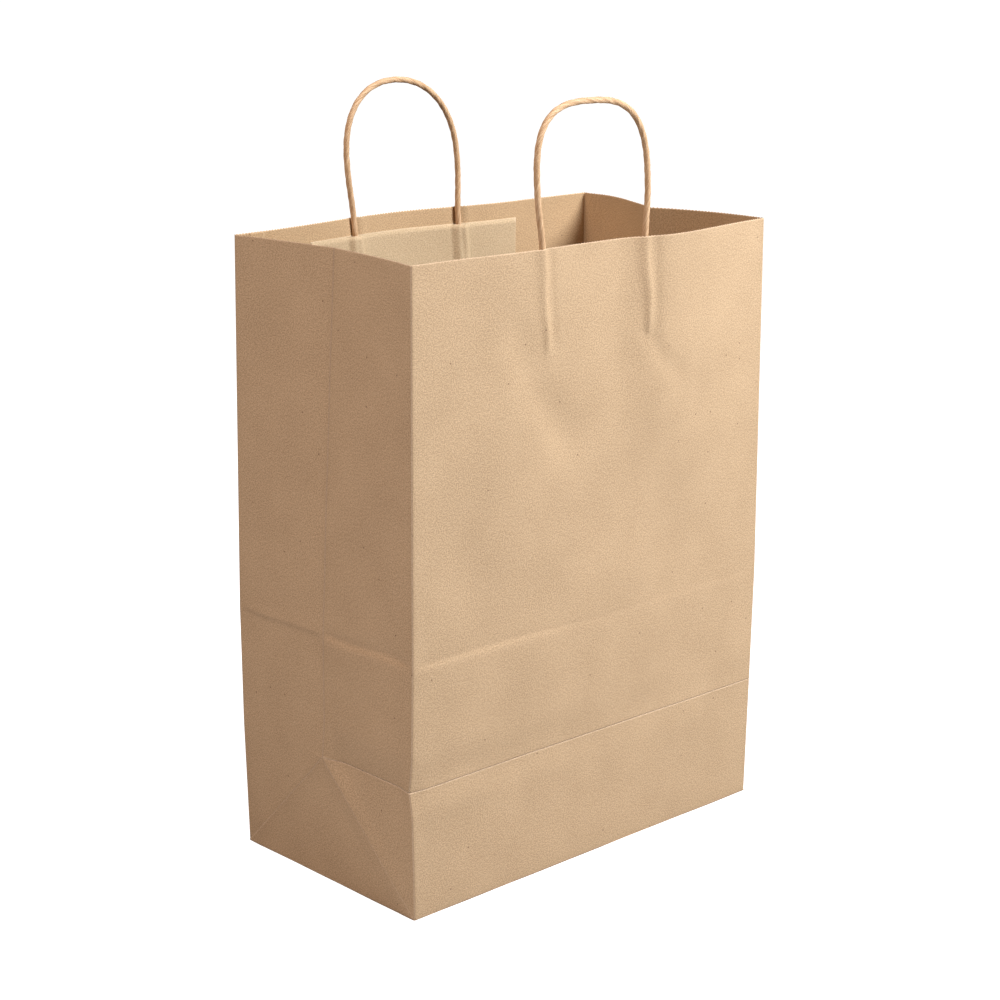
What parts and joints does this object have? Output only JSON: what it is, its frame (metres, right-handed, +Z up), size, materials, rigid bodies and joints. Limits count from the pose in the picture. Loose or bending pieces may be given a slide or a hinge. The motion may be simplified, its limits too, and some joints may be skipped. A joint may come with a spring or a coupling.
{
  "type": "gift bag",
  "caption": "Plain brown kraft paper gift bag that stands open on a flat glued bottom, carried by two twisted paper cord handles, and folds flat along its creases",
  "frame": {"origin": "middle of the underside, on the ground", "axes": "+Z up; X along the wide panels; the front panel faces -Y"},
  "size_m": [0.33, 0.178, 0.525],
  "materials": {
    "kraft": "matt brown kraft paper, fine fibres and sparse dark flecks",
    "kraft_inside": "matt brown kraft paper, inner face",
    "kraft_patch": "matt kraft paper strip, glued",
    "twisted_cord": "tightly twisted kraft paper cord"
  },
  "bodies": {
    "back": {"back_panel": "kraft", "seam_lap": "kraft_inside", "back_patch_base": "kraft_patch", "back_patch_cover": "kraft_patch", "back_handle_left_leg": "twisted_cord", "back_handle_right_leg": "twisted_cord", "back_handle_left_bend": "twisted_cord", "back_handle_right_bend": "twisted_cord"},
    "left_gusset_rear": {"left_gusset_rear": "kraft"},
    "left_gusset_front": {"left_gusset_front": "kraft"},
    "right_gusset_rear": {"right_gusset_rear": "kraft"},
    "right_gusset_front": {"right_gusset_front": "kraft"},
    "front": {"front_panel": "kraft", "front_patch_base": "kraft_patch", "front_patch_cover": "kraft_patch", "front_handle_left_leg": "twisted_cord", "front_handle_right_leg": "twisted_cord", "front_handle_left_bend": "twisted_cord", "front_handle_right_bend": "twisted_cord"},
    "bottom": {"bottom_outer_flap": "kraft", "bottom_inner_flap": "kraft", "bottom_left_tuck": "kraft_inside", "bottom_right_tuck": "kraft_inside"},
    "front_lower": {"front_lower_panel": "kraft"},
    "left_base": {"left_base_triangle": "kraft"},
    "right_base": {"right_base_triangle": "kraft"},
    "left_front": {"left_front_triangle": "kraft"},
    "right_front": {"right_front_triangle": "kraft"},
    "front_handle": {"front_handle_loop": "twisted_cord"},
    "back_handle": {"back_handle_loop": "twisted_cord"}
  },
  "joints": [
    {"name": "fold_flat", "type": "hinge", "parent": "back", "child": "left_gusset_rear", "pos_m": [-0.1648, 0.0887, 0], "axis": [0, 0, 1], "range_deg": [0, 86.5]},
    {"name": "left_centre_crease", "type": "hinge", "parent": "left_gusset_rear", "child": "left_gusset_front", "pos_m": [-0.165, 0, 0], "axis": [0, 0, -1], "range_deg": [0, 173]},
    {"name": "left_front_corner", "type": "hinge", "parent": "left_gusset_front", "child": "front", "pos_m": [-0.1648, -0.0887, 0], "axis": [0, 0, 1], "range_deg": [0, 86.5]},
    {"name": "right_rear_corner", "type": "hinge", "parent": "back", "child": "right_gusset_rear", "pos_m": [0.1648, 0.0887, 0], "axis": [0, 0, -1], "range_deg": [0, 86.5]},
    {"name": "right_centre_crease", "type": "hinge", "parent": "right_gusset_rear", "child": "right_gusset_front", "pos_m": [0.165, 0, 0], "axis": [0, 0, 1], "range_deg": [0, 173]},
    {"name": "bottom_fold", "type": "hinge", "parent": "back", "child": "bottom", "pos_m": [0, 0.0888, 0.0006], "axis": [-1, 0, 0], "range_deg": [0, 82], "deforming": ["bottom_outer_flap", "bottom_inner_flap", "bottom_left_tuck", "bottom_right_tuck"]},
    {"name": "front_lower_fold", "type": "hinge", "parent": "bottom", "child": "front_lower", "pos_m": [0, -0.0888, 0.0006], "axis": [-1, 0, 0], "range_deg": [0, 89.5], "deforming": ["front_lower_panel"]},
    {"name": "left_base_fold", "type": "hinge", "parent": "bottom", "child": "left_base", "pos_m": [-0.1648, 0, 0.0006], "axis": [0, 1, 0], "range_deg": [0, 89.5], "deforming": ["left_base_triangle"]},
    {"name": "right_base_fold", "type": "hinge", "parent": "bottom", "child": "right_base", "pos_m": [0.1648, 0, 0.0006], "axis": [0, -1, 0], "range_deg": [0, 89.5], "deforming": ["right_base_triangle"]},
    {"name": "left_front_fold", "type": "hinge", "parent": "front_lower", "child": "left_front", "pos_m": [-0.1648, -0.0888, 0], "axis": [0, 0, -1], "range_deg": [0, 89.5], "deforming": ["left_front_triangle"]},
    {"name": "right_front_fold", "type": "hinge", "parent": "front_lower", "child": "right_front", "pos_m": [0.1648, -0.0888, 0], "axis": [0, 0, 1], "range_deg": [0, 89.5], "deforming": ["right_front_triangle"]},
    {"name": "front_handle_lean", "type": "hinge", "parent": "front", "child": "front_handle", "pos_m": [-0.004, -0.08655, 0.437], "axis": [1, 0, 0], "range_deg": [-70, 120], "stiffness_Nm_per_rad": 0.02, "deforming": ["front_handle_left_bend", "front_handle_right_bend"]},
    {"name": "back_handle_lean", "type": "hinge", "parent": "back", "child": "back_handle", "pos_m": [-0.012, 0.08655, 0.437], "axis": [-1, 0, 0], "range_deg": [-70, 120], "stiffness_Nm_per_rad": 0.02, "deforming": ["back_handle_left_bend", "back_handle_right_bend"]}
  ],
  "couplings": [
    {"joint": "left_centre_crease", "follows": "fold_flat", "ratio": 2},
    {"joint": "left_front_corner", "follows": "fold_flat", "ratio": 1},
    {"joint": "right_rear_corner", "follows": "fold_flat", "ratio": 1},
    {"joint": "right_centre_crease", "follows": "fold_flat", "ratio": 2},
    {"joint": "bottom_fold", "follows": "fold_flat", "ratio": 0.94798},
    {"joint": "front_lower_fold", "follows": "fold_flat", "ratio": 1.0347},
    {"joint": "left_base_fold", "follows": "fold_flat", "ratio": 1.0347},
    {"joint": "right_base_fold", "follows": "fold_flat", "ratio": 1.0347},
    {"joint": "left_front_fold", "follows": "fold_flat", "ratio": 1.0347},
    {"joint": "right_front_fold", "follows": "fold_flat", "ratio": 1.0347}
  ]
}
